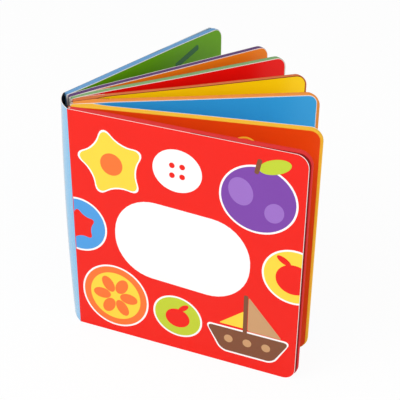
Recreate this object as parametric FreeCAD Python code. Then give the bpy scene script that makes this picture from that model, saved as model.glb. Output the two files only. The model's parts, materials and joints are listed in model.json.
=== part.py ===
"""Children's board book, standing on its bottom edges with its boards fanned open.

Foam-cored boards carry thin printed card on each face. A laminated card wraps the
front cover, the hollow spine and the back cover, and creases beside the spine.
Millimetres and degrees, +Z up. The front cover's outer face looks along -Y.
"""
import FreeCAD, Part
import math
import os

# Page size
BOOK_HEIGHT = 190.0
COVER_WIDTH = 181.5         # cover card, from its crease to its fore edge
LEAF_WIDTH = 183.5          # inner leaf, from its fold to its fore edge
CORNER_RADIUS = 9.5         # top and bottom corners of every fore edge

# Build-up of the boards
WRAP_CARD = 1.2             # laminated card of the covers and the spine
LEAF_FOAM = 5.3             # foam sheet inside each inner leaf
COVER_FOAM = 4.8            # foam sheet inside each cover
FACING = 0.35               # printed card on a foam sheet
FOAM_OVERHANG = 1.0         # cover foam past the fore edge of its cards
CARD_LIFT = 1.2             # how far the wrap card stands off the foam at the fore edge
GLUED_WIDTH = 120.0         # wrap card lies flat on the foam up to here
FOAM_START = 2.0            # cover foam stops this far from the crease

# Gutter, where the facings are folded from one leaf to the next
FOLD_PITCH = 4.05           # from one fold to the next
FOLD_BEARING = 96.7         # plan direction from the first fold to the second
FOLD_TURN = 12.86           # turn of the row of folds at each fold
FOLD_THICKNESS = 0.5        # folded card behind each fold line
PINCH_WIDTH = 28.0          # boards thin towards the gutter over this width
FOLD_SETBACK = 1.2          # outer folds lie this far behind their crease, along the cover
FRONT_FOLD_DEPTH = 4.0      # first fold, in from the front cover's outer face
BACK_FOLD_DEPTH = 5.2       # last fold, in from the back cover's outer face

# Fan, as plan angles from the front cover
LEAF_ANGLES = (11.3, 29.0, 38.9, 49.8, 56.9)
BACK_COVER_ANGLE = 74.2

# Spine card
SPINE_BOW_AT_ENDS = 2.8     # outward bow at the top and bottom edges
SPINE_BOW_AT_MIDDLE = 4.6   # outward bow at mid height
SPINE_SECTIONS = 7          # plan sections that the bow is shaped with

# Clearances
CREASE_GAP = 0.3            # cover card to spine card
HINGE_CLEARANCE = 0.3       # cover endpaper to the fold beside it
ENDPAPER_START = 1.2        # cover endpaper starts this far from that fold

BOARD = LEAF_FOAM + 2 * FACING
COVER_BOARD = WRAP_CARD + COVER_FOAM + FACING


def unit(angle):
    """Plan direction at an angle in degrees."""
    a = math.radians(angle)
    return FreeCAD.Vector(math.cos(a), math.sin(a), 0)


class Frame:
    """Plan axes of a board: u runs from the spine to the fore edge, v across it."""

    def __init__(self, origin, angle, side=1):
        self.origin = origin
        self.along = unit(angle)
        self.across = unit(angle + 90 * side)

    def point(self, u, v, z=0.0):
        """Point of the book at u, v and height z."""
        return self.origin + self.along * u + self.across * v + FreeCAD.Vector(0, 0, z)

    def local(self, point):
        """A plan point's u and v."""
        d = point - self.origin
        return d.dot(self.along), d.dot(self.across)


def slab(frame, outline):
    """Full-height solid over a plan outline given as u, v pairs."""
    points = [frame.point(u, v) for u, v in outline]
    face = Part.Face(Part.makePolygon(points + points[:1]))
    return face.extrude(FreeCAD.Vector(0, 0, BOOK_HEIGHT))


def round_corners(frame, solid, reach):
    """Cut a board's fore edge at reach, with its two corners rounded."""
    start, depth = -BOARD, 4 * BOARD
    r, top = CORNER_RADIUS, BOOK_HEIGHT
    cut = r * (1 - math.sqrt(0.5))

    def at(u, z):
        return frame.point(u, -depth / 2, z)

    edges = [
        Part.makeLine(at(start, 0), at(reach - r, 0)),
        Part.Arc(at(reach - r, 0), at(reach - cut, cut), at(reach, r)).toShape(),
        Part.makeLine(at(reach, r), at(reach, top - r)),
        Part.Arc(at(reach, top - r), at(reach - cut, top - cut), at(reach - r, top)).toShape(),
        Part.makeLine(at(reach - r, top), at(start, top)),
        Part.makeLine(at(start, top), at(start, 0)),
    ]
    profile = Part.Face(Part.Wire(edges)).extrude(frame.across * depth)
    return solid.common(profile)


def fold_points():
    """Fold lines in plan, from the one beside the front cover to the one beside the back cover."""
    points = [FreeCAD.Vector(-FOLD_SETBACK, FRONT_FOLD_DEPTH, 0)]
    for i in range(len(LEAF_ANGLES)):
        points.append(points[-1] + unit(FOLD_BEARING + i * FOLD_TURN) * FOLD_PITCH)
    return points


def fold_centre(folds):
    """Centre of the arc that the folds lie on."""
    radius = FOLD_PITCH / (2 * math.sin(math.radians(FOLD_TURN / 2)))
    return folds[0] + unit(FOLD_BEARING - FOLD_TURN / 2 + 90) * radius


def make_leaf(angle, fold_in_front, fold_behind, centre):
    """One inner leaf, thinned to the two folds that it hangs from."""
    frame = Frame((fold_in_front + fold_behind) * 0.5, angle)
    backs = []
    for fold in (fold_in_front, fold_behind):
        towards = centre - fold
        backs.append(fold + towards * (FOLD_THICKNESS / towards.Length))
    half = BOARD / 2
    outline = [
        frame.local(backs[0]), frame.local(fold_in_front),
        (PINCH_WIDTH, -half), (LEAF_WIDTH, -half),
        (LEAF_WIDTH, half), (PINCH_WIDTH, half),
        frame.local(fold_behind), frame.local(backs[1]),
    ]
    return round_corners(frame, slab(frame, outline), LEAF_WIDTH)


def make_page_block(folds):
    """All inner leaves, joined along their folds."""
    centre = fold_centre(folds)
    leaves = [make_leaf(angle, folds[i], folds[i + 1], centre)
              for i, angle in enumerate(LEAF_ANGLES)]
    return leaves[0].fuse(leaves[1:]).removeSplitter()


def pinch_line(u, inset, fold_depth):
    """Depth of a cover board's inner face at u, less an inset, where it thins to the gutter."""
    start = fold_depth - HINGE_CLEARANCE
    slope = (COVER_BOARD - start) / (PINCH_WIDTH + FOLD_SETBACK)
    return start + slope * (u + FOLD_SETBACK) - inset


def make_cover(frame, crease_angle, fold_depth):
    """Wrap card, foam and endpaper of a cover, in a frame with v into the book."""
    mitre = math.radians(crease_angle / 2)

    def card_start(v):
        return v / math.tan(mitre) + CREASE_GAP / 2 / math.sin(mitre)

    card = [(card_start(0), 0), (COVER_WIDTH, 0),
            (COVER_WIDTH, WRAP_CARD), (card_start(WRAP_CARD), WRAP_CARD)]
    reach = COVER_WIDTH + FOAM_OVERHANG
    front, back = WRAP_CARD, WRAP_CARD + COVER_FOAM
    foam = [(FOAM_START, front), (GLUED_WIDTH, front), (reach, front + CARD_LIFT),
            (reach, back + CARD_LIFT), (GLUED_WIDTH, back), (PINCH_WIDTH, back),
            (FOAM_START, pinch_line(FOAM_START, FACING, fold_depth))]
    start = ENDPAPER_START - FOLD_SETBACK
    inner = [(start, pinch_line(start, 0, fold_depth)), (PINCH_WIDTH, COVER_BOARD),
             (GLUED_WIDTH, COVER_BOARD), (reach, COVER_BOARD + CARD_LIFT)]
    outer = [(start, pinch_line(start, FACING, fold_depth)), (PINCH_WIDTH, back),
             (GLUED_WIDTH, back), (reach, back + CARD_LIFT)]
    return [round_corners(frame, slab(frame, card), COVER_WIDTH),
            round_corners(frame, slab(frame, foam), reach),
            round_corners(frame, slab(frame, outer + inner[::-1]), COVER_WIDTH)]


def spine_section(front, back, outward, bow, z):
    """Closed plan wire of the spine card, bowed outward between its creases."""
    half = (back - front).Length / 2
    radius = (half * half + bow * bow) / (2 * bow)
    middle = (front + back) * 0.5
    centre = middle + outward * (bow - radius)
    lift = FreeCAD.Vector(0, 0, z)
    points = []
    for r in (radius, radius - WRAP_CARD):
        for target in (front, middle + outward * bow, back):
            reach = target - centre
            points.append(centre + reach * (r / reach.Length) + lift)
    a, b, c, d, e, f = points
    return Part.Wire([Part.Arc(a, b, c).toShape(), Part.makeLine(c, f),
                      Part.Arc(f, e, d).toShape(), Part.makeLine(d, a)])


def make_spine_card(front, back, outward):
    """Spine card, bowed most at mid height, before its ends are trimmed."""
    wires = []
    for i in range(SPINE_SECTIONS):
        share = i / (SPINE_SECTIONS - 1)
        swell = 1 - (2 * share - 1) ** 2
        bow = SPINE_BOW_AT_ENDS + (SPINE_BOW_AT_MIDDLE - SPINE_BOW_AT_ENDS) * swell
        wires.append(spine_section(front, back, outward, bow, share * BOOK_HEIGHT))
    return Part.makeLoft(wires, True, False)


def trim_at_crease(card, frame, crease_angle):
    """Cut the spine card back to its half of the crease gap."""
    mitre = math.radians(crease_angle / 2)
    size = 4 * WRAP_CARD
    shift = CREASE_GAP / 2 / math.sin(mitre)

    def edge(v):
        return v / math.tan(mitre) - shift

    outline = [(edge(-size), -size), (size * 3, -size), (size * 3, size), (edge(size), size)]
    return card.cut(slab(frame, outline))


def build():
    """Every node's solid, with the book's bottom centre at the origin, and both crease points."""
    folds = fold_points()
    front_crease = FreeCAD.Vector(0, 0, 0)
    back = Frame(folds[-1], BACK_COVER_ANGLE)
    back_crease = back.point(FOLD_SETBACK, BACK_FOLD_DEPTH)
    spine = back_crease - front_crease
    spine_angle = math.degrees(math.atan2(spine.y, spine.x))
    front_frame = Frame(front_crease, 0, 1)
    back_frame = Frame(back_crease, BACK_COVER_ANGLE, -1)
    back_angle = 180 - spine_angle + BACK_COVER_ANGLE

    spine_card = make_spine_card(front_crease, back_crease, unit(spine_angle + 90))
    spine_card = trim_at_crease(spine_card, front_frame, spine_angle)
    spine_card = trim_at_crease(spine_card, back_frame, back_angle)

    nodes = {"page_block": make_page_block(folds), "spine_card": spine_card}
    covers = (("front", front_frame, spine_angle, FRONT_FOLD_DEPTH),
              ("back", back_frame, back_angle, BACK_FOLD_DEPTH))
    for name, frame, angle, fold_depth in covers:
        card, foam, endpaper = make_cover(frame, angle, fold_depth)
        nodes[name + "_cover_card"] = card
        nodes[name + "_cover_foam"] = foam
        nodes[name + "_endpaper"] = endpaper

    box = Part.makeCompound(list(nodes.values())).optimalBoundingBox(True, False)
    shift = FreeCAD.Vector(-box.Center.x, -box.Center.y, -box.ZMin)
    for shape in nodes.values():
        shape.translate(shift)
    return nodes, (front_crease + shift, back_crease + shift)


def main():
    os.makedirs("parts", exist_ok=True)
    nodes, creases = build()
    for name, shape in nodes.items():
        shape.exportStep("parts/%s.step" % name)
        print("%-18s %d solid, valid %s, %.1f cm3" % (
            name, len(shape.Solids), shape.isValid(), shape.Volume / 1000))
    for name, crease in zip(("front", "back"), creases):
        print("%s cover hinge at x %.3f, y %.3f" % (name, crease.x, crease.y))


main()
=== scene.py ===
"""Children's board book, standing with its boards fanned: how it looks.

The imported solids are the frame. Every piece here is modelled in place, in metres,
with +Z up along the spine and the front cover's outer face looking along -Y.
Boards are set out in plan: u runs from the spine to the fore edge, v across.
"""
import json
import math
from contextlib import contextmanager

import bmesh
import bpy
from bpy.props import FloatProperty, FloatVectorProperty, PointerProperty
from bpy.types import Operator, Panel, PropertyGroup
from mathutils import Matrix, Vector


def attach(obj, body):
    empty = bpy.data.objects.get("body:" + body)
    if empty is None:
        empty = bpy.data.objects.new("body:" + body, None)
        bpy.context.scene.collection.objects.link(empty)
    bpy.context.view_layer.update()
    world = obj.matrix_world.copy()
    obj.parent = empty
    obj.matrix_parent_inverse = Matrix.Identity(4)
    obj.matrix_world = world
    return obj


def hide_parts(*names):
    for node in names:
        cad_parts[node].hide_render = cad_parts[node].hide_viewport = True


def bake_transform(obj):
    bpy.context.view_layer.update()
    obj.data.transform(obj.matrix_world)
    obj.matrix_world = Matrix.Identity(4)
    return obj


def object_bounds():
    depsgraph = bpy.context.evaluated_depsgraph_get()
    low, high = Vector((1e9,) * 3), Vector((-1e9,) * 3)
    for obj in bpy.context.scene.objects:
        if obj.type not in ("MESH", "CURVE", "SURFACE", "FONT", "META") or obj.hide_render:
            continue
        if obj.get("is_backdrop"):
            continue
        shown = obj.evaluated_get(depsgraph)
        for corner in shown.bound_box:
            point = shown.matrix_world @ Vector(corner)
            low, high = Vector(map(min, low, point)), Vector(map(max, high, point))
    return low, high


bl_info = {
    "name": "Fanned Board Book",
    "version": (1, 0, 0),
    "blender": (4, 5, 0),
    "location": "View3D > Sidebar > Board Book",
    "description": "Foam-leaved children's board book, standing with its boards fanned",
    "category": "Mesh",
}

MM = 0.001
NEAR = 0.02 * MM            # points closer than this are one point
UP = Vector((0, 0, 1))
LEAVES = 5

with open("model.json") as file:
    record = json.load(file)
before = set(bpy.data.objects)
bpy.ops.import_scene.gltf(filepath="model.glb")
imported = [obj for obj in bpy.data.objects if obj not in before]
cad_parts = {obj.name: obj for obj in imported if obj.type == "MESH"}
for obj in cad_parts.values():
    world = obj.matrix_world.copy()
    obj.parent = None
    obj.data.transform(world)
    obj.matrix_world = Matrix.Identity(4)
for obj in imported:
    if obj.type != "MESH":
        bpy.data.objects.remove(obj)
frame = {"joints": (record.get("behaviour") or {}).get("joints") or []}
FLOOR_LEVEL, BOOK_TOP = (corner.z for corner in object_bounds())
BOOK_HEIGHT = BOOK_TOP - FLOOR_LEVEL
MID_HEIGHT = (FLOOR_LEVEL + BOOK_TOP) / 2
CREASES = {joint["child"]: Vector(joint["pos_m"]) for joint in frame["joints"]}
FRONT_CREASE = CREASES["front_cover"]
BACK_CREASE = CREASES["back_cover"]


# ---------------- sizes and colours

def linear(code):
    """Linear colour of an sRGB hex code."""
    parts = [int(code[i:i + 2], 16) / 255 for i in (1, 3, 5)]
    return tuple(c / 12.92 if c <= 0.04045 else ((c + 0.055) / 1.055) ** 2.4 for c in parts)


def measure(name, description, unit, values):
    """One value or a row of values in the panel."""
    if len(values) == 1:
        return FloatProperty(name=name, description=description, default=values[0], unit=unit,
                             precision=5)
    return FloatVectorProperty(name=name, description=description, default=values, unit=unit,
                               precision=5, size=len(values))


def length(name, description, *millimetres):
    """Size or row of sizes in the panel, given in millimetres."""
    return measure(name, description, "LENGTH", [value * MM for value in millimetres])


def angle(name, description, *degrees):
    """Angle or row of angles in the panel, given in degrees."""
    return measure(name, description, "ROTATION", [math.radians(value) for value in degrees])


def colour(name, description, code):
    """Colour in the panel, given as an sRGB hex code."""
    return FloatVectorProperty(name=name, description=description, default=linear(code),
                               subtype="COLOR", size=3, min=0, max=1)


class BookSizes(PropertyGroup):
    """Sizes of the boards and cards, which follow the solids."""
    cover_width: length("Cover width", "Cover card, from its crease to its fore edge", 181.5)
    leaf_width: length("Leaf width", "Inner leaf, from its fold to its fore edge", 183.5)
    corner_radius: length("Corner radius", "Rounded corners of every fore edge", 9.5)
    wrap_card: length("Wrap card", "Laminated card of covers and spine, with its backing", 1.2)
    wrap_skin: length("Wrap skin", "Outer laminated layer of the wrap card", 0.5)
    cover_board: length("Cover board", "Whole cover, with its wrap card and lining", 6.35)
    facing: length("Facing", "Printed card on the foam", 0.35)
    margin: length("Margin", "Bare edge round a page's print", 0.4)
    burr: length("Burr", "Bare edge that the blade rolls onto the wrap card's print", 0.05)
    fore_burr: length("Fore burr", "The same at the wrap card's fore edges", 0.25)
    foam_overhang: length("Foam overhang", "Cover foam past the fore edge of its cards", 1.0)
    card_lift: length("Card lift", "Wrap card off the foam at the fore edge", 1.8)
    glued_width: length("Glued width", "Wrap card lies flat on the foam up to here", 120)
    foam_start: length("Foam start", "Cover foam stops this far from the crease", 1.2)
    leaf_foam_start: length("Leaf foam start", "Leaf foam stops this far from its fold", 1.5)
    foam_round: length("Foam rounding", "Soft edge that die cutting leaves on foam", 0.2)
    foam_bulge: length("Foam bulge", "Rounding of the foam where it swells past its cards", 1.9)
    pinch_width: length("Pinch width", "Boards thin to the gutter over this width", 28)
    sway_width: length("Sway width", "Leaves change their course here once more", 90)
    fold_pitch: length("Fold pitch", "From one gutter fold to the next", 4.05)
    fold_setback: length("Fold setback", "Outer folds behind their crease", 1.2)
    front_fold_depth: length("Front fold depth", "First fold, in from the front cover", 4.0)
    spine_bow_ends: length("Spine bow at ends", "Outward bow at top and bottom", 2.8)
    spine_bow_middle: length("Spine bow at middle", "Outward bow at mid height", 4.6)
    print_step: length("Print step", "One ink shape above the one below", 0.02)
    leaf_boards: length("Leaf boards", "Whole inner leaves, with their cards",
                        6.0, 6.0, 4.1, 5.0, 5.3)
    sway_at_pinch: length("Sway at pinch", "Leaves stand back from their planes here",
                          1.8, 1.4, 2.5, 2.0, 1.6)
    sway_at_middle: length("Sway at middle", "The same at the sway width",
                           1.5, 0.5, 1.0, 0.6, 0.6)
    sway_at_edge: length("Sway at fore edge", "The same at the fore edge",
                         0.0, 0.0, 0.85, 0.8, 0.3)
    foam_past_print: length("Foam past print", "Foam showing past each leaf's print",
                            1.6, 2.6, 1.6, 1.4, 1.2)
    touch: length("Touch", "Boards press together this far from each fold",
                  5.5, 15.2, 18.0, 9.0, 16.0, 3.5)


class BookFan(PropertyGroup):
    """Plan angles of the boards, from the front cover."""
    fold_bearing: angle("Fold bearing", "Plan direction from the first fold to the second", 96.7)
    fold_turn: angle("Fold turn", "Turn of the row of folds at each fold", 12.86)
    back_cover: angle("Back cover", "Plan angle of the back cover", 74.2)
    leaves: angle("Leaves", "Plan angles of the inner leaves", 11.3, 29.0, 38.9, 49.8, 56.9)
    touches: angle("Touches", "Plan directions in which boards press together",
                   10.4, 27.8, 41.3, 56.7, 58.0, 72.3)


class BookColours(PropertyGroup):
    """Colours of card, foam and ink."""
    cover: colour("Cover", "Ink of the front cover", "#EE1F13")
    wrap: colour("Wrap", "Ink of the spine and back cover", "#6EB8E4")
    card: colour("Card", "Bare card where it is cut", "#F6EFEA")
    # Dark crimson: the board's own red, darkened as painted shade of the gap between card and
    # foam
    backing_front: colour("Front backing", "Board behind the front card's skin", "#A8140E")
    backing_back: colour("Back backing", "Board behind the back card's skin", "#BCD0DE")
    # Dark brown for the third leaf's front card edge; no second board is modelled in that leaf
    backing_leaf: colour("Leaf backing", "Recycled board in the third leaf", "#74261C")
    foam_front: colour("Front foam", "Foam of the front cover", "#DE2C2A")
    foam_1: colour("Foam 1", "Foam of the first leaf", "#FBBB30")
    foam_2: colour("Foam 2", "Foam of the second leaf", "#EE9038")
    foam_3: colour("Foam 3", "Foam of the third leaf", "#D2703A")
    foam_4: colour("Foam 4", "Foam of the fourth leaf", "#7FA86E")
    foam_5: colour("Foam 5", "Foam of the fifth leaf", "#5A3A6C")
    foam_back: colour("Back foam", "Foam of the back cover", "#6A9ECC")
    page_0: colour("Opening 1", "Ink of the first opening", "#E8480E")
    page_1: colour("Opening 2", "Ink of the second opening", "#36A2DA")
    page_2: colour("Opening 3", "Ink of the third opening", "#FFD40A")
    page_3: colour("Opening 4", "Ink of the fourth opening", "#F01008")
    page_4: colour("Opening 5", "Ink of the fifth opening", "#F48A1A")
    page_5: colour("Opening 6", "Ink of the last opening", "#6CAA04")
    white: colour("White ink", "Unprinted white of the cover", "#FBFAF8")
    yellow: colour("Yellow ink", "Star, front sail, oval, orange and disc's rim", "#FCD63C")
    orange: colour("Orange ink", "Orange, star's middle and disc", "#F8742A")
    purple: colour("Purple ink", "Plum", "#7A3FA6")
    violet: colour("Violet ink", "Lights on the plum", "#9A6CC4")
    lime: colour("Lime ink", "Leaf and oval", "#BFD02C")
    brown: colour("Brown ink", "Hull, mast and stem", "#7C4A2E")
    tan: colour("Tan ink", "Main sail and portholes", "#C89A6C")
    blue: colour("Blue ink", "Oval at the crease", "#4A9CE0")
    green: colour("Green ink", "Stroke on the last opening", "#1F6B2E")
    # Dark navy for the wrap card's inner side, which shows inside the spine's hollow
    lining: colour("Wrap lining", "Dark paper that lines the wrap card", "#18202C")


def sizes():
    return bpy.context.scene.book_sizes


def fan():
    return bpy.context.scene.book_fan


def colours():
    return bpy.context.scene.book_colours


# ---------------- plan of the boards

PARTING_WIDTH = 4 * MM      # boards take at least this to part, once they stop pressing


def unit(turn):
    """Plan direction at an angle."""
    return Vector((math.cos(turn), math.sin(turn), 0))


class Board:
    """Plan axes of a board: u from the spine to the fore edge, v across it."""

    def __init__(self, origin, turn, side=1):
        self.origin = origin
        self.along = unit(turn)
        self.across = unit(turn + side * math.pi / 2)

    def point(self, u, v):
        return self.origin + self.along * u + self.across * v

    def u(self, point):
        return (point - self.origin).dot(self.along)

    def v(self, point):
        return (point - self.origin).dot(self.across)

    def pair(self, point):
        return self.u(point), self.v(point)


def folds():
    """Gutter folds in plan, from the front cover's to the back cover's."""
    s, f = sizes(), fan()
    points = [FRONT_CREASE + Vector((-s.fold_setback, s.front_fold_depth, 0))]
    for i in range(LEAVES):
        points.append(points[-1] + unit(f.fold_bearing + i * f.fold_turn) * s.fold_pitch)
    return points


def leaf_board(i):
    """Board axes of an inner leaf, midway between its two folds."""
    before, behind = folds()[i:i + 2]
    return Board((before + behind) / 2, fan().leaves[i])


def cover_board(end):
    """Board axes of a cover, from its crease, with v into the book."""
    if end == "front":
        return Board(FRONT_CREASE, 0)
    return Board(BACK_CREASE, fan().back_cover, -1)


def pinched(start, end, u):
    """Depth at u on the straight line between two u, v pairs."""
    share = (u - start[0]) / (end[0] - start[0])
    return start[1] + (end[1] - start[1]) * share


def touch_point(i):
    """Where the two boards beside a fold stop pressing together."""
    return folds()[i] + unit(fan().touches[i]) * sizes().touch[i]


def pinch_end(board, touch):
    """Where a board reaches its full thickness."""
    return max(sizes().pinch_width, board.u(touch) + PARTING_WIDTH)


def leaf_stations(i, side):
    """An inner leaf's face as u, v pairs: its fold, touch, pinch, sway and fore edge."""
    s = sizes()
    board = leaf_board(i)
    half = side * s.leaf_boards[i] / 2
    fold, touch = folds()[i + (side > 0)], touch_point(i + (side > 0))
    return [board.pair(fold), board.pair(touch),
            (pinch_end(board, touch), half + s.sway_at_pinch[i]),
            (s.sway_width, half + s.sway_at_middle[i]),
            (s.leaf_width, half + s.sway_at_edge[i])]


def cover_stations(end):
    """A cover's inner face as u, v pairs: its fold, touch, pinch, glue line and fore edge."""
    s = sizes()
    board = cover_board(end)
    i = 0 if end == "front" else LEAVES
    touch = touch_point(i)
    return [board.pair(folds()[i]), board.pair(touch),
            (pinch_end(board, touch), s.cover_board), (s.glued_width, s.cover_board),
            (s.cover_width + s.foam_overhang, s.cover_board + s.card_lift)]


def inset(stations, gap, start):
    """Stations moved by a gap across the board and begun at a given u."""
    cut = [(u, v + gap) for u, v in stations if u > start + NEAR]
    before = [p for p in stations if p[0] <= start + NEAR][-1]
    after = next(p for p in stations if p[0] > start + NEAR)
    return [(start, pinched(before, after, start) + gap)] + cut


# ---------------- modelling by hand

CORNER_STEPS = 8            # facets of a card's rounded corner
FOAM_CORNER_STEPS = 12      # the same for foam
FOAM_EDGE_STEPS = 6         # facets across the foam's soft edge
FOAM_EDGE_ANGLE = math.radians(50)      # foam edges sharper than this are softened
SMOOTH_ANGLE = math.radians(35)         # edges sharper than this are shaded sharp


def activate(piece):
    """Select one object and nothing else."""
    bpy.ops.object.select_all(action="DESELECT")
    piece.select_set(True)
    bpy.context.view_layer.objects.active = piece


@contextmanager
def editing(piece, whole=False):
    """Edit mode on one object, with the whole of it selected on request."""
    activate(piece)
    bpy.ops.object.mode_set(mode="EDIT")
    if whole:
        bpy.ops.mesh.select_all(action="SELECT")
    yield
    bpy.ops.object.mode_set(mode="OBJECT")


def pick(kind, wanted):
    """Select the VERT, EDGE or FACE elements whose corner points pass a test."""
    bpy.ops.mesh.select_all(action="DESELECT")
    bpy.ops.mesh.select_mode(type=kind)
    mesh = bmesh.from_edit_mesh(bpy.context.edit_object.data)
    for element in {"VERT": mesh.verts, "EDGE": mesh.edges, "FACE": mesh.faces}[kind]:
        corners = [element] if kind == "VERT" else element.verts
        element.select_set(wanted([corner.co for corner in corners]))
    mesh.select_flush_mode()
    bmesh.update_edit_mesh(bpy.context.edit_object.data)


def above(point):
    """Test for corner points that all stand over a plan point."""
    return lambda corners: all((c - point).xy.length < NEAR for c in corners)


def at_ends(corner):
    """Whether a point is on the book's top or bottom."""
    return min(corner.z - FLOOR_LEVEL, BOOK_TOP - corner.z) < NEAR


def apply_modifier(piece, kind, **settings):
    """Add a modifier, set it and apply it."""
    activate(piece)
    modifier = piece.modifiers.new(kind.title(), kind)
    for key, value in settings.items():
        setattr(modifier, key, value)
    bpy.ops.object.modifier_apply(modifier=modifier.name)


def settle(piece):
    """Put a piece's place into its mesh."""
    activate(piece)
    bpy.ops.object.transform_apply(location=True, rotation=True, scale=True)


def stretched(*scale):
    """The object just added, with its scale put into its mesh."""
    piece = bpy.context.object
    piece.scale = scale
    settle(piece)
    return piece


def smooth(piece):
    """Smooth shading, apart from the sharp edges."""
    activate(piece)
    bpy.ops.object.shade_smooth_by_angle(angle=SMOOTH_ANGLE)


def give(piece, *finishes):
    """Material slots of a piece, in order."""
    piece.data.materials.clear()
    for finish in finishes:
        piece.data.materials.append(finish)


def wall(name, points):
    """Upright sheet of the book's height through plan points, extruded edge by edge."""
    first, second = points[:2]
    run = second - first
    middle = (first + second) / 2
    bpy.ops.mesh.primitive_plane_add(size=1, location=(middle.x, middle.y, MID_HEIGHT),
                                     rotation=(math.pi / 2, 0, math.atan2(run.y, run.x)))
    piece = stretched(run.length, BOOK_HEIGHT, 1)
    piece.name = name
    with editing(piece):
        pick("EDGE", above(second))
        for here, there in zip(points[1:], points[2:]):
            bpy.ops.mesh.extrude_region_move(
                TRANSFORM_OT_translate={"value": there - here})
    return piece


def face_along(piece, direction):
    """Turn an open sheet so that its first face looks along a direction."""
    if piece.data.polygons[0].normal.dot(direction) < 0:
        with editing(piece, whole=True):
            bpy.ops.mesh.flip_normals()


def soften(piece, point, reach):
    """Turn a sheet's bend over a plan point into a curve."""
    with editing(piece):
        pick("EDGE", above(point))
        bpy.ops.mesh.bevel(offset=reach, segments=BEND_STEPS, affect="EDGES")


def round_fore_corners(piece, point, radius):
    """Round a sheet's top and bottom corners over a plan point."""
    with editing(piece):
        pick("VERT", lambda c: above(point)(c) and at_ends(c[0]))
        bpy.ops.mesh.bevel(offset=radius, segments=CORNER_STEPS, affect="VERTICES")


def foam_core(name, board, outline, reach, finish):
    """Foam sheet over a plan outline of u, v pairs, with die-cut fore corners."""
    s = sizes()
    points = [board.point(u, v) for u, v in outline]
    piece = wall(name, points + points[:1])
    with editing(piece, whole=True):
        bpy.ops.mesh.remove_doubles(threshold=NEAR)
        bpy.ops.mesh.fill_holes(sides=0)
        bpy.ops.mesh.normals_make_consistent(inside=False)
        pick("EDGE", lambda c: abs(c[0].z - c[1].z) < NEAR
             and all(board.u(p) > reach - NEAR for p in c))
        bpy.ops.mesh.bevel(offset=s.corner_radius, segments=FOAM_CORNER_STEPS, affect="EDGES")
    weigh_edges(piece, graded(board, reach, s.foam_round / s.foam_bulge),
                lambda one, other: one.normal.angle(other.normal) > FOAM_EDGE_ANGLE)
    apply_modifier(piece, "BEVEL", width=s.foam_bulge, segments=FOAM_EDGE_STEPS,
                   limit_method="WEIGHT")
    give(piece, finish)
    smooth(piece)
    return piece


def weigh_edges(piece, weight, wanted):
    """Bevel weights from the edges' middles, where a test of their two faces holds."""
    mesh = piece.data
    weights = mesh.attributes.new("bevel_weight_edge", "FLOAT", "EDGE")
    sides = {}
    for face in mesh.polygons:
        for key in face.edge_keys:
            sides.setdefault(key, []).append(face)
    for edge in mesh.edges:
        if wanted(*sides[edge.key]):
            start, end = (mesh.vertices[i].co for i in edge.vertices)
            weights.data[edge.index].value = weight((start + end) / 2)


def graded(board, reach, least):
    """Bevel weight that grows over the fore corners, from a least share to one."""
    radius = sizes().corner_radius
    return lambda place: least + (1 - least) * max(0, 1 - (reach - board.u(place)) / radius)


def bare_margin(piece, width):
    """Leave a sheet's print off along its outline."""
    with editing(piece, whole=True):
        bpy.ops.mesh.inset(thickness=width, use_boundary=True, use_select_inset=True)
        piece.active_material_index = 1
        bpy.ops.object.material_slot_assign()


def card(piece, thickness, printed, back, margin=0):
    """Thickness behind a sheet's printed face, with bare card where it is cut."""
    give(piece, printed, cut_card(), back, back)
    if margin:
        bare_margin(piece, margin)
    apply_modifier(piece, "SOLIDIFY", thickness=thickness, offset=-1,
                   material_offset=2, material_offset_rim=0 if margin else 1)
    smooth(piece)


def refinish(piece, finish, wanted):
    """Another finish for the faces of a piece that pass a test."""
    piece.data.materials.append(finish)
    for face in piece.data.polygons:
        if wanted(face):
            face.material_index = len(piece.data.materials) - 1


def roll_edges(piece, board):
    """Burr that the blade leaves on a cover's wrap card, wider at its fore edge."""
    s = sizes()
    weigh_edges(piece, graded(board, s.cover_width, s.burr / s.fore_burr),
                lambda one, other: {one.material_index, other.material_index} == {0, 1})
    apply_modifier(piece, "BEVEL", width=s.fore_burr, segments=1, limit_method="WEIGHT",
                   material=1)


# ---------------- finishes

FOAM_CELL = 0.45 * MM
GAP_SHADE_LIGHTNESS = 0.4                 # share of its lightness that foam keeps as painted shade of the gap behind the wrap card
FILMS = {                   # the film over each ink, and over the pages' and shapes' inks
    "wrap": {"gloss": 0.14, "film": 0.8, "coat": 1.0},
    "lining": {"gloss": 0.6, "film": 0.2},
    "cover": {"gloss": 0.16, "film": 0.2},
    "page": {"gloss": 0.3, "film": 0.2},
    "shape": {"gloss": 0.16, "film": 0.35},
}


def fill(tree, made, sockets):
    """Give a node's sockets their values or links."""
    for socket, value in sockets.items():
        if isinstance(value, bpy.types.NodeSocket):
            tree.links.new(value, made.inputs[socket])
        else:
            made.inputs[socket].default_value = value


def node(tree, kind, sockets=None, **settings):
    """Add a node with its settings, and with values or links for its sockets."""
    made = tree.nodes.new(kind)
    for key, value in settings.items():
        setattr(made, key, value)
    fill(tree, made, sockets or {})
    return made


def new_finish(name):
    """Empty material with its tree, its shader and its Object coordinates."""
    made = bpy.data.materials.new(name)
    made.use_nodes = True
    tree = made.node_tree
    shader = tree.nodes["Principled BSDF"]
    place = node(tree, "ShaderNodeTexCoord").outputs["Object"]
    return made, tree, shader, place


def noise(tree, place, grain, detail=2.0):
    """Cloudy pattern, given the size of its clouds in millimetres."""
    return node(tree, "ShaderNodeTexNoise", {"Vector": place, "Scale": 1 / (grain * MM),
                                             "Detail": detail}).outputs["Fac"]


def combined(tree, operation, first, second):
    """Sum, product or the like of two values."""
    return node(tree, "ShaderNodeMath", {0: first, 1: second}, operation=operation).outputs[0]


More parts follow.
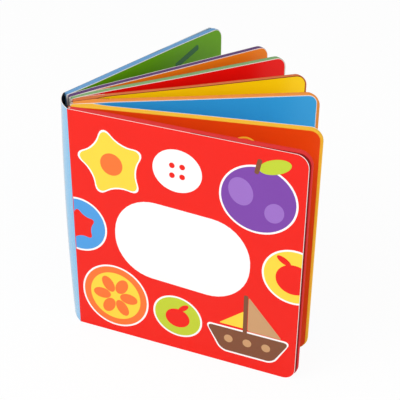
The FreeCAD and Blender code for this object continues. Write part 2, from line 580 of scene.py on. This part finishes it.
def between(tree, share, low, high):
    """Colour between two others, which go into the mix's sockets 6 and 7."""
    return node(tree, "ShaderNodeMix", {"Factor": share, 6: low, 7: high},
                data_type="RGBA").outputs[2]


def tones(tree, share, tint, low, high):
    """Colour between a darker and a lighter tone of one tint."""
    dark, light = (tuple(min(1, c * part) for c in tint) + (1,) for part in (low, high))
    return between(tree, share, dark, light)


def relief(tree, height, strength, depth):
    """Fine unevenness, given its depth in millimetres."""
    return node(tree, "ShaderNodeBump", {"Height": height, "Strength": strength,
                                         "Distance": depth * MM}).outputs["Normal"]


def laminated_print(name, tint, gloss, film, coat=0.0):
    """Offset-printed card under gloss film: a clear wet-looking skin over even ink.

    The film is never quite flat, so its highlights waver; the ink has a faint cloudiness.
    A thinner film keeps the ink deeper, with less of the room on it. A coat over the film
    gives the clean sheen of the wrap card.
    """
    made, tree, shader, place = new_finish(name)
    cloud = noise(tree, place, grain=22)
    speck = noise(tree, place, grain=0.9, detail=1.0)
    even = combined(tree, "MULTIPLY", combined(tree, "ADD", cloud, speck), 0.5)
    wave = noise(tree, place, grain=14, detail=1.0)
    fill(tree, shader, {
        "Base Color": tones(tree, even, tint, low=0.95, high=1.05),
        "Normal": relief(tree, wave, strength=0.12, depth=0.15),
        "Roughness": gloss, "Specular IOR Level": film,
        "Coat Weight": coat, "Coat Roughness": gloss})
    return made


def eva_foam(name, tint):
    """Closed-cell EVA sheet, cut with a die: matt, with fine cells that catch the light."""
    made, tree, shader, place = new_finish(name)
    cells = node(tree, "ShaderNodeTexVoronoi",
                 {"Vector": place, "Scale": 1 / FOAM_CELL}).outputs["Distance"]
    cloudy = combined(tree, "MULTIPLY", cells, noise(tree, place, grain=6, detail=4.0))
    fill(tree, shader, {
        "Base Color": tones(tree, cloudy, tint, low=0.86, high=1.14),
        "Normal": relief(tree, cells, strength=0.35, depth=0.08),
        "Roughness": 0.78, "Specular IOR Level": 0.25})
    return made


def cut_board(name, tint):
    """Solid board where the blade went through it: soft, dull and a little fibrous."""
    found = bpy.data.materials.get(name)
    if found:
        return found
    made, tree, shader, place = new_finish(name)
    fibre = noise(tree, place, grain=0.6, detail=3.0)
    fill(tree, shader, {"Base Color": tones(tree, fibre, tint, low=0.9, high=1.04),
                        "Roughness": 0.85, "Specular IOR Level": 0.15})
    return made


def cut_card():
    """The white board of pages and of the wrap card's skin."""
    return cut_board("bleached_board_cut", colours().card)


def backing_board(where):
    """The second board behind a cover's card, its dark front colour partly painted shade of the
    gap; also the dark brown edge of the third leaf's front card.
    """
    return cut_board("backing_cut_" + where, getattr(colours(), "backing_" + where))


def painted_gap_shade_foam(end):
    """Painted shade on a cover's foam where it faces the wrap card, dark in the gap where the
    card stands off.
    """
    return cut_board("glued_foam_" + end, [c * GAP_SHADE_LIGHTNESS for c in getattr(colours(), "foam_" + end)])


def ink(name):
    """The laminated print of one named colour, made once."""
    title = "laminated_print_" + name
    film = FILMS.get(name.split("_")[0], FILMS["shape"])
    found = bpy.data.materials.get(title)
    return found or laminated_print(title, getattr(colours(), name), **film)


# ---------------- pieces

SPINE_COLUMNS = 24
SPINE_ROWS = 12
CREASE_COLUMNS = 2          # spine columns that go with each cover's card
CREASE_BEND = 2 * MM        # a point this far onto each cover is worked out and not used
COVER_STOPS = (1.5 * MM, 12 * MM)       # edges across a cover's card beside its crease
SKIN_GAP = 0.05 * MM        # wrap card's skin to the board behind it
BACKING_SHARE = 0.8         # that board starts at this share of the glued width
BACKING_INSET = 0.3 * MM    # and stops this far inside the fore edge
GAP_SHADE_FACING = 0.7          # foam that looks this squarely at the wrap card gets painted shade
PRESS_GAP = 0.06 * MM       # a leaf's print stays this far off where boards press together
LINING_BENDS = (0.06, 0.12, 0.18)       # shares of a lining's way from its fold to its touch
BEND_REACHES = (2 * MM, 5 * MM, 6 * MM)     # easing of a face's touch, pinch and sway
BEND_STEPS = 4
MARGIN_SLOTS = (1, 3)       # a page card's bare margin with its cut, and the margin's back


def arch(share):
    """Height of a shallow arch along its span, as a share of its rise."""
    return 4 * share * (1 - share)


def spine_sheet():
    """The spine's bowed face, in place between its two creases."""
    s = sizes()
    chord = BACK_CREASE - FRONT_CREASE
    bpy.ops.mesh.primitive_grid_add(
        x_subdivisions=SPINE_COLUMNS, y_subdivisions=SPINE_ROWS, size=1,
        location=(chord.length / 2, 0, MID_HEIGHT), rotation=(math.pi / 2, 0, 0))
    piece = stretched(chord.length, BOOK_HEIGHT, 1)
    piece.name = "spine_wrap"
    with editing(piece):
        for i in range(1, SPINE_COLUMNS):
            share = i / SPINE_COLUMNS
            bow = s.spine_bow_middle * arch(share)
            pick("VERT", lambda c: abs(c[0].x - share * chord.length) < NEAR)
            bpy.ops.transform.translate(value=(0, bow, 0))
        for i in range(SPINE_ROWS + 1):
            share = i / SPINE_ROWS
            bow = s.spine_bow_ends + (s.spine_bow_middle - s.spine_bow_ends) * arch(share)
            pick("VERT", lambda c: abs(c[0].z - FLOOR_LEVEL - share * BOOK_HEIGHT) < NEAR)
            bpy.ops.transform.resize(value=(1, bow / s.spine_bow_middle, 1),
                                     center_override=(0, 0, 0))
    piece.location = (FRONT_CREASE.x, FRONT_CREASE.y, 0)
    piece.rotation_euler = (0, 0, math.atan2(chord.y, chord.x))
    settle(piece)
    return piece


def cover_sheet(spine, end):
    """Carry the spine's sheet on past a crease to the cover's fore edge."""
    s = sizes()
    board = cover_board(end)
    stops = (0, *COVER_STOPS, s.cover_width)
    with editing(spine):
        pick("EDGE", above(board.origin))
        for here, there in zip(stops, stops[1:]):
            bpy.ops.mesh.extrude_region_move(
                TRANSFORM_OT_translate={"value": board.along * (there - here)})
    round_fore_corners(spine, board.point(s.cover_width, 0), s.corner_radius)


def seat(piece, nodes, body):
    """What a piece stands for and the body that it rides on."""
    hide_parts(*nodes)
    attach(piece, body)


def split_off(piece, wanted, name):
    """Separate the faces that pass a test into a piece of their own."""
    with editing(piece):
        pick("FACE", wanted)
        bpy.ops.mesh.separate(type="SELECTED")
    made = next(o for o in bpy.context.selected_objects if o is not piece)
    made.name = name
    return made


class BOOK_OT_wrap(Operator):
    """Laminated card round both covers and the spine, which bends at its two creases"""
    bl_idname = "book.wrap"
    bl_label = "Wrap card"

    def execute(self, context):
        s = sizes()
        chord = BACK_CREASE - FRONT_CREASE
        spine = spine_sheet()
        face_along(spine, UP.cross(chord))
        cover_sheet(spine, "front")
        cover_sheet(spine, "back")
        strip = chord.length * (CREASE_COLUMNS + 0.5) / SPINE_COLUMNS
        way = chord.normalized()

        def short_of(crease, inward):
            return lambda corners: all((c - crease).dot(inward) < strip for c in corners)

        front = split_off(spine, short_of(FRONT_CREASE, way), "front_wrap")
        back = split_off(spine, short_of(BACK_CREASE, -way), "back_wrap")
        wraps = ((front, "front", "cover", way), (back, "back", "wrap", -way))
        for piece, end, tint, inward in wraps:
            board = cover_board(end)
            card(piece, s.wrap_skin, ink("wrap"), ink("lining"))
            roll_edges(piece, board)
            refinish(piece, ink(tint),
                     lambda face: face.material_index == 0 and board.u(face.center) > 0)
            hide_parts(end + "_cover_card", "spine_card")
            board.point(CREASE_BEND, 0)
            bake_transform(piece)
            self.back_with_board(end, board)
        card(spine, s.wrap_skin, ink("wrap"), ink("lining"))
        seat(spine, ["spine_card"], "book_block")
        return {"FINISHED"}

    def back_with_board(self, end, board):
        """Second layer of a cover's card, which shows where the foam stands off it."""
        s = sizes()
        depth = s.wrap_skin + SKIN_GAP
        stops = (s.glued_width * BACKING_SHARE, s.cover_width - BACKING_INSET)
        backing = wall(end + "_backing", [board.point(u, depth) for u in stops])
        face_along(backing, -board.across)
        round_fore_corners(backing, board.point(stops[1], depth), s.corner_radius)
        # At the front this colour is partly painted shade of the gap behind the card
        give(backing, backing_board(end))
        apply_modifier(backing, "SOLIDIFY", thickness=s.wrap_card - depth, offset=-1)
        smooth(backing)
        seat(backing, [end + "_cover_card"], end + "_cover")


class BOOK_OT_cover_foam(Operator):
    """Foam board inside each cover, thinned to the gutter and proud of its cards"""
    bl_idname = "book.cover_foam"
    bl_label = "Cover foam"

    def execute(self, context):
        s = sizes()
        reach = s.cover_width + s.foam_overhang
        for end in ("front", "back"):
            outer = [(s.foam_start, s.wrap_skin), (s.glued_width, s.wrap_skin),
                     (reach, s.wrap_card + s.card_lift)]
            inner = inset(cover_stations(end), -s.facing, s.foam_start)
            outline = outer + inner[::-1]
            finish = eva_foam("eva_foam_%s_cover" % end, getattr(colours(), "foam_" + end))
            board = cover_board(end)
            piece = foam_core(end + "_foam", board, outline, reach, finish)
            # Painted shade on the foam faces towards the wrap card, seen in the gap where the
            # card lifts off
            refinish(piece, painted_gap_shade_foam(end),
                     lambda face: -face.normal.dot(board.across) > GAP_SHADE_FACING)
            seat(piece, [end + "_cover_foam"], end + "_cover")
        return {"FINISHED"}


class BOOK_OT_leaf_foam(Operator):
    """Foam sheet inside each inner leaf"""
    bl_idname = "book.leaf_foam"
    bl_label = "Leaf foam"

    def execute(self, context):
        s = sizes()
        for i in range(LEAVES):
            board = leaf_board(i)
            front = inset(leaf_stations(i, -1), s.facing, s.leaf_foam_start)
            back = inset(leaf_stations(i, 1), -s.facing, s.leaf_foam_start)
            number = i + 1
            finish = eva_foam("eva_foam_leaf_%d" % number, getattr(colours(), "foam_%d" % number))
            piece = foam_core("leaf_foam_%d" % number, board, front + back[::-1], s.leaf_width,
                              finish)
            seat(piece, ["page_block"], "book_block")
        return {"FINISHED"}


def face_points(board, stations, end):
    """Plan points of a printed face, from its touch to the fore edge of its print."""
    last = (end, pinched(stations[-2], stations[-1], end))
    return [board.point(u, v) for u, v in stations[1:-1] + [last]]


def leaf_face(i, side):
    """Plan points of one printed face of an inner leaf."""
    s = sizes()
    stations = leaf_stations(i, side)
    stations[1] = (stations[1][0], stations[1][1] - side * PRESS_GAP)
    return face_points(leaf_board(i), stations, s.leaf_width - s.foam_past_print[i])


def lining_face(end):
    """Plan points of a cover's printed inner face."""
    return face_points(cover_board(end), cover_stations(end), sizes().cover_width)


def page_card(name, points, corners, bends, tint, looks):
    """Printed card through plan points, with its ends' corners rounded and its bends eased."""
    s = sizes()
    piece = wall(name, points)
    face_along(piece, looks)
    for point, reach in bends:
        soften(piece, point, reach)
    for point, past in corners:
        round_fore_corners(piece, point, s.corner_radius - past)
    card(piece, s.facing, ink(tint), cut_card(), s.margin)
    return piece


def eased(face):
    """A face's touch, pinch and sway, each with the reach of the curve it becomes."""
    return list(zip(face, BEND_REACHES))


def leaf_foam(number):
    """Finish of an inner leaf's foam."""
    return bpy.data.materials["eva_foam_leaf_%d" % number]


def nearer(place, one, other):
    """Whether a place is nearer to one board's plane than to another's."""
    return abs(one.v(place)) < abs(other.v(place))


def cover_rim(piece, finish, wanted):
    """Another colour for a card's bare margin and cut, where a test of the place holds."""
    refinish(piece, finish,
             lambda face: face.material_index in MARGIN_SLOTS and wanted(face.center))


class BOOK_OT_openings(Operator):
    """Printed card of each opening, folded in the gutter from one leaf to the next"""
    bl_idname = "book.openings"
    bl_label = "Openings"

    def execute(self, context):
        past = sizes().foam_past_print
        lines = folds()
        for i in range(1, LEAVES):
            before, after = leaf_face(i - 1, 1), leaf_face(i, -1)
            sides = leaf_board(i - 1), leaf_board(i)
            piece = page_card(
                "opening_%d" % (i + 1), before[::-1] + [lines[i]] + after,
                [(before[-1], past[i - 1]), (after[-1], past[i])],
                eased(before) + eased(after), "page_%d" % i, sides[0].across)
            if i > 1:
                cover_rim(piece, leaf_foam(i), lambda c: nearer(c, *sides))
            if i == 2:
                # The third leaf's front card edge is coloured dark brown
                cover_rim(piece, backing_board("leaf"), lambda c: not nearer(c, *sides))
            seat(piece, ["page_block"], "book_block")
        self.outer_openings()
        return {"FINISHED"}

    def outer_openings(self):
        """The first and last openings, whose card runs from the gutter fold onto a leaf and onto
        a cover.
        """
        past = sizes().foam_past_print
        ends = (("front", "first", 0, -1, "page_0"), ("back", "last", LEAVES - 1, 1, "page_5"))
        for end, title, i, side, tint in ends:
            fold = folds()[0 if end == "front" else LEAVES]
            face = leaf_face(i, side)
            leaf = page_card(title + "_leaf_print", [fold] + face, [(face[-1], past[i])],
                             eased(face), tint, leaf_board(i).across * side)
            if end == "front":
                cover_rim(leaf, leaf_foam(i + 1), lambda c: True)
            seat(leaf, ["page_block"], "book_block")
            board = cover_board(end)
            inner = lining_face(end)
            run = inner[0] - fold
            hinge = [fold + run * share for share in LINING_BENDS]
            lining = page_card(end + "_lining", [fold] + hinge + inner, [(inner[-1], 0)],
                               eased(inner), tint, board.across)
            if end == "front":
                cover_rim(lining, bpy.data.materials["eva_foam_front_cover"], lambda c: True)
            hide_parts(end + "_endpaper")
            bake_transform(lining)


# ---------------- printed shapes

INK_SHARE = 0.9             # thickness of an ink shape, as a share of the print step
STAR_POINTS = 5
STAR_WAIST = 0.56           # a star's inner corners, as a share of its points' reach
STAR_BLUNT = 0.14           # its rounding, as a share of its width
KEEL_SHARE = 0.62           # a hull's keel, as a share of its deck
CREASE_MARGIN = 0.6 * MM    # ink stops this far from the cover's crease


def disc(width, tall=None, points=96):
    """Flat oval at the origin. These shapes take millimetres."""
    bpy.ops.mesh.primitive_circle_add(vertices=points, radius=width * MM / 2, fill_type="NGON")
    return stretched(1, (tall or width) / width, 1)


def blunt_corners(radius, steps):
    """Round the corners of the flat shape that is being edited."""
    bpy.ops.mesh.select_all(action="SELECT")
    bpy.ops.mesh.bevel(offset=radius * MM, segments=steps, affect="VERTICES")


def rectangle(width, tall):
    """Flat rectangle at the origin."""
    bpy.ops.mesh.primitive_plane_add(size=1)
    return stretched(width * MM, tall * MM, 1)


def panel(width, tall, radius):
    """Flat rectangle with rounded corners."""
    piece = rectangle(width, tall)
    with editing(piece):
        blunt_corners(radius, steps=10)
    return piece


def star(width):
    """Flat five-pointed star with blunt points."""
    piece = disc(width, points=2 * STAR_POINTS)
    with editing(piece):
        def inner(corners):
            turn = math.atan2(corners[0].y, corners[0].x) - math.pi / 2
            return round(turn / math.pi * STAR_POINTS) % 2 == 1

        pick("VERT", inner)
        bpy.ops.transform.resize(value=(STAR_WAIST, STAR_WAIST, 1), center_override=(0, 0, 0))
        blunt_corners(width * STAR_BLUNT, steps=5)
    return piece


def sail(width, tall, blunt):
    """Flat right-angled triangle with blunt points, its upright side on the left."""
    piece = rectangle(width, tall)
    with editing(piece):
        pick("VERT", lambda c: c[0].x > 0 and c[0].y > 0)
        bpy.ops.mesh.delete(type="VERT")
        bpy.ops.mesh.select_all(action="SELECT")
        bpy.ops.mesh.edge_face_add()
        blunt_corners(blunt, steps=4)
    return piece


def hull(width, tall, blunt):
    """Flat boat's side, narrower at its keel."""
    piece = rectangle(width, tall)
    with editing(piece):
        pick("VERT", lambda c: c[0].y < 0)
        bpy.ops.transform.resize(value=(KEEL_SHARE, 1, 1), center_override=(0, 0, 0))
        blunt_corners(blunt, steps=6)
    return piece


def ring(u, z, reach, count, first=0):
    """Places round a centre, each with its direction in degrees."""
    for i in range(count):
        turn = first + 360 * i / count
        way = math.radians(turn)
        yield u + reach * math.cos(way), z + reach * math.sin(way), turn


class Sheet:
    """A printed face that ink shapes are laid on: their x and y become its u and height."""

    def __init__(self, board, slot, body):
        self.board, self.slot, self.body = board, slot, body
        self.look = board.along.cross(UP)

    def lay(self, kind, size, u, z, level, tint, turn=0):
        """Put a flat shape on the face, at a level of the ink, with its ink's thickness."""
        step = sizes().print_step
        shape = kind(*size)
        shape.rotation_euler = (0, 0, math.radians(turn))
        settle(shape)
        place = self.board.point(u * MM, 0) + self.look * step * level
        place.z = z * MM
        columns = Matrix((self.board.along, UP, self.look)).transposed()
        shape.matrix_world = Matrix.Translation(place) @ columns.to_4x4()
        settle(shape)
        face_along(shape, self.look)
        give(shape, ink(tint))
        apply_modifier(shape, "SOLIDIFY", thickness=step * INK_SHARE, offset=-1)
        return shape

    def motif(self, name):
        """One piece of all the shapes of a motif, which rides with the face."""
        shapes = [self.lay(*shape) for shape in MOTIFS[name]]
        activate(shapes[0])
        for shape in shapes[1:]:
            shape.select_set(True)
        if len(shapes) > 1:
            bpy.ops.object.join()
        shapes[0].name = name
        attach(shapes[0], self.body)
        return shapes[0]


# Shapes of each motif: kind, size, place along and up its face, level, ink and turn
MOTIFS = {
    "title_field": [(panel, (108, 67, 32), 89, 93, 1, "white", -3)],
    "star_print": [
        (star, (64,), 34, 152, 1, "white", 12),
        (star, (60,), 34, 152, 2, "yellow", 12),
        (disc, (18,), 34, 152, 3, "orange")],
    "button_print": [
        (disc, (38, 34), 86, 158, 1, "white"),
        *((disc, (4.4, 4.4, 24), u, z, 2, "cover") for u, z, _ in ring(86, 158, 5.6, 4, 45))],
    "boat_print": [
        (hull, (69, 24, 5.5), 143, 22, 1, "white"),
        (hull, (66, 21, 4.5), 143, 22, 2, "brown"),
        (sail, (27, 31, 1.8), 156.5, 50, 2, "tan"),
        (sail, (16, 20, 1.6), 130, 44, 2, "yellow", 90),
        (panel, (3.4, 35, 1.2), 141, 49, 3, "brown"),
        *((disc, (7, 7, 24), u, 23, 3, "tan") for u in (128, 143, 158))],
    "plum_print": [
        (disc, (58, 54), 147, 149, 1, "white"),
        (disc, (55, 51), 147, 149, 2, "purple"),
        (disc, (18, 22), 134, 153, 3, "violet", 20),
        (disc, (14, 16), 159, 141, 3, "violet", -25),
        (disc, (24, 11), 158, 177, 3, "lime", 20),
        (panel, (3.4, 12, 1.4), 146, 175, 4, "brown", -12)],
    "orange_print": [
        (disc, (57,), 33, 35, 1, "white"),
        (disc, (54,), 33, 35, 2, "orange"),
        (disc, (43,), 33, 35, 3, "yellow"),
        *((disc, (15, 9.6), u, z, 4, "orange", turn) for u, z, turn in ring(33, 35, 11.5, 6))],
    "blue_oval_print": [
        (disc, (48, 47), 4, 94, 1, "white"),
        (disc, (45, 44), 4, 94, 2, "blue"),
        (star, (31,), 5, 94, 3, "cover", 8)],
    "yellow_oval_print": [
        (disc, (48, 46), 176, 92, 1, "white"),
        (disc, (45, 43), 176, 92, 2, "yellow"),
        (disc, (27, 25), 176, 90, 3, "cover"),
        (disc, (12, 5), 168, 104.5, 4, "cover", 150)],
    "lime_oval_print": [
        (disc, (41, 37), 86, 31, 1, "white", -14),
        (disc, (38, 34), 86, 31, 2, "lime", -14),
        (disc, (20, 17), 86, 29.5, 3, "cover"),
        (disc, (10, 4.4), 91, 40, 4, "cover", 40)],
    "first_leaf_spot": [
        (disc, (20,), 129, 169.8, 2, "yellow"),
        (disc, (17.6,), 129, 169.8, 3, "orange")],
    "last_opening_stroke": [(panel, (31, 5, 1.8), 136, 177, 3, "green", 17)],
}


def print_on_cover(*names):
    """Lay motifs on the front cover and trim them to its card."""
    board = cover_board("front")
    sheet = Sheet(board, "wrap_card_front", "front_cover")
    for name in names:
        piece = sheet.motif(name)
        for u, way in ((CREASE_MARGIN, -1), (sizes().cover_width - sizes().fore_burr, 1)):
            with editing(piece, whole=True):
                bpy.ops.mesh.bisect(plane_co=board.point(u, 0), plane_no=board.along * way,
                                    clear_outer=True, use_fill=True)
    return {"FINISHED"}


class BOOK_OT_label(Operator):
    """Bare white title field of the cover"""
    bl_idname = "book.label"
    bl_label = "Title field"

    def execute(self, context):
        return print_on_cover("title_field")


class BOOK_OT_toys(Operator):
    """Star, boat and button of the cover print"""
    bl_idname = "book.toys"
    bl_label = "Toys"

    def execute(self, context):
        return print_on_cover("star_print", "button_print", "boat_print")


class BOOK_OT_fruit(Operator):
    """Plum and orange of the cover print"""
    bl_idname = "book.fruit"
    bl_label = "Fruit"

    def execute(self, context):
        return print_on_cover("plum_print", "orange_print")


class BOOK_OT_ovals(Operator):
    """Coloured ovals with a red shape in each"""
    bl_idname = "book.ovals"
    bl_label = "Ovals"

    def execute(self, context):
        return print_on_cover("blue_oval_print", "yellow_oval_print", "lime_oval_print")


def outer_half(board, stations):
    """Board axes in the plane of a face's outer half, from its last two u, v stations."""
    start, end = (board.point(u, v) for u, v in stations[-2:])
    run = end - start
    turn = math.atan2(run.y, run.x)
    return Board(start - unit(turn) * stations[-2][0], turn)


class BOOK_OT_page_print(Operator):
    """Disc on the first leaf and stroke on the last opening"""
    bl_idname = "book.page_print"
    bl_label = "Page print"

    def execute(self, context):
        leaf = outer_half(leaf_board(0), leaf_stations(0, -1))
        Sheet(leaf, "page_boards", "book_block").motif("first_leaf_spot")
        lining = outer_half(cover_board("back"), cover_stations("back"))
        Sheet(lining, "facing_back", "back_cover").motif("last_opening_stroke")
        return {"FINISHED"}


# ---------------- stage

CAMERA_PLACE = Vector((255.09, -662.33, 499.79)) * MM
CAMERA_YAW = math.radians(-22.6)
CAMERA_PITCH = math.radians(30.6)
CAMERA_ROLL = math.radians(0.55)
CAMERA_LENS = 90.4          # millimetres, as is the sensor
SENSOR_WIDTH = 36
FLOOR_RADIUS = 3            # metres
FLOOR_DROP = 0.1 * MM       # floor below the book's bottom edges
FLOOR_GLOW = 0.94           # share of plain white in what the camera sees of the floor
WORLD_LIGHT = 0.62
LIT_POINT = (0, 0, 0.1)     # the softboxes face this point


def white_backdrop(tree, background):
    """Plain soft light from a world that looks white to the camera and in reflections."""
    rays = node(tree, "ShaderNodeLightPath").outputs
    seen = rays["Is Camera Ray"]
    for ray in ("Is Glossy Ray", "Is Transmission Ray"):
        seen = combined(tree, "MAXIMUM", seen, rays[ray])
    level = node(tree, "ShaderNodeMix", {0: seen, 2: WORLD_LIGHT, 3: 1.0}, data_type="FLOAT")
    fill(tree, background, {"Color": (1, 1, 1, 1), "Strength": level.outputs[0]})


def floor_finish():
    """Seamless white paper: it looks white to the camera and keeps a soft shadow."""
    made, tree, shader, place = new_finish("seamless_white_paper")
    low, high = (linear(code) + (1,) for code in ("#EEEEEE", "#F3F3F3"))
    fill(tree, shader, {"Base Color": between(tree, noise(tree, place, grain=3), low, high),
                        "Roughness": 0.9})
    rays = node(tree, "ShaderNodeLightPath").outputs
    glow = node(tree, "ShaderNodeEmission", {"Color": (1, 1, 1, 1), "Strength": 1.0})
    blend = node(tree, "ShaderNodeMixShader", {
        0: combined(tree, "MULTIPLY", rays["Is Camera Ray"], FLOOR_GLOW),
        1: shader.outputs[0], 2: glow.outputs[0]})
    fill(tree, tree.nodes["Material Output"], {"Surface": blend.outputs[0]})
    return made


def soft_light(name, place, size, power):
    """Square softbox aimed at the book, in metres and watts."""
    bpy.ops.object.light_add(type="AREA", location=place)
    lamp = bpy.context.object
    lamp.name = name
    aim = Vector(LIT_POINT) - Vector(place)
    lamp.rotation_euler = aim.to_track_quat("-Z", "Y").to_euler()
    lamp.data.size = size
    lamp.data.energy = power


class BOOK_OT_stage(Operator):
    """White floor, soft studio light and the camera"""
    bl_idname = "book.stage"
    bl_label = "Stage"

    def execute(self, context):
        bpy.ops.mesh.primitive_circle_add(vertices=64, radius=FLOOR_RADIUS, fill_type="NGON",
                                          location=(0, 0, FLOOR_LEVEL - FLOOR_DROP))
        floor = bpy.context.object
        floor.name = "floor"
        give(floor, floor_finish())
        floor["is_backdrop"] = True
        soft_light("key_softbox", (-0.5, -0.9, 1.1), size=0.8, power=9)
        soft_light("fill_softbox", (1.0, -0.5, 0.7), size=0.9, power=4)
        world = bpy.data.worlds.new("studio")
        world.use_nodes = True
        context.scene.world = world
        white_backdrop(world.node_tree, world.node_tree.nodes["Background"])
        self.place_camera(context)
        context.scene.view_settings.view_transform = "Standard"
        return {"FINISHED"}

    def place_camera(self, context):
        """Camera at its place, turned by yaw, pitch and roll."""
        bpy.ops.object.camera_add(location=CAMERA_PLACE)
        camera = bpy.context.object
        turn = (Matrix.Rotation(-CAMERA_YAW, 3, "Z")
                @ Matrix.Rotation(math.pi / 2 - CAMERA_PITCH, 3, "X")
                @ Matrix.Rotation(CAMERA_ROLL, 3, "Z"))
        camera.rotation_euler = turn.to_euler()
        camera.data.sensor_width = SENSOR_WIDTH
        camera.data.lens = CAMERA_LENS
        context.scene.camera = camera


# ---------------- panel and main

PIECE_OPERATORS = (BOOK_OT_wrap, BOOK_OT_cover_foam, BOOK_OT_leaf_foam, BOOK_OT_openings,
                   BOOK_OT_label, BOOK_OT_toys, BOOK_OT_fruit, BOOK_OT_ovals,
                   BOOK_OT_page_print, BOOK_OT_stage)


class BOOK_PT_panel(Panel):
    """Sizes, fan, colours and the operators that build the book"""
    bl_label = "Board Book"
    bl_idname = "BOOK_PT_panel"
    bl_space_type = "VIEW_3D"
    bl_region_type = "UI"
    bl_category = "Board Book"

    def draw(self, context):
        scene = context.scene
        for group in (scene.book_sizes, scene.book_fan, scene.book_colours):
            box = self.layout.box()
            for name in group.__annotations__:
                box.prop(group, name)
        for operator in PIECE_OPERATORS:
            self.layout.operator(operator.bl_idname)


GROUPS = {"book_sizes": BookSizes, "book_fan": BookFan, "book_colours": BookColours}
CLASSES = (*GROUPS.values(), *PIECE_OPERATORS, BOOK_PT_panel)


def register():
    for made in CLASSES:
        bpy.utils.register_class(made)
    for name, group in GROUPS.items():
        setattr(bpy.types.Scene, name, PointerProperty(type=group))


def unregister():
    for name in GROUPS:
        delattr(bpy.types.Scene, name)
    for made in reversed(CLASSES):
        bpy.utils.unregister_class(made)


def main():
    """Build every piece in order."""
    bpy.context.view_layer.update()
    register()
    for operator in PIECE_OPERATORS:
        family, name = operator.bl_idname.split(".")
        getattr(getattr(bpy.ops, family), name)()


if __name__ == "__main__":
    main()
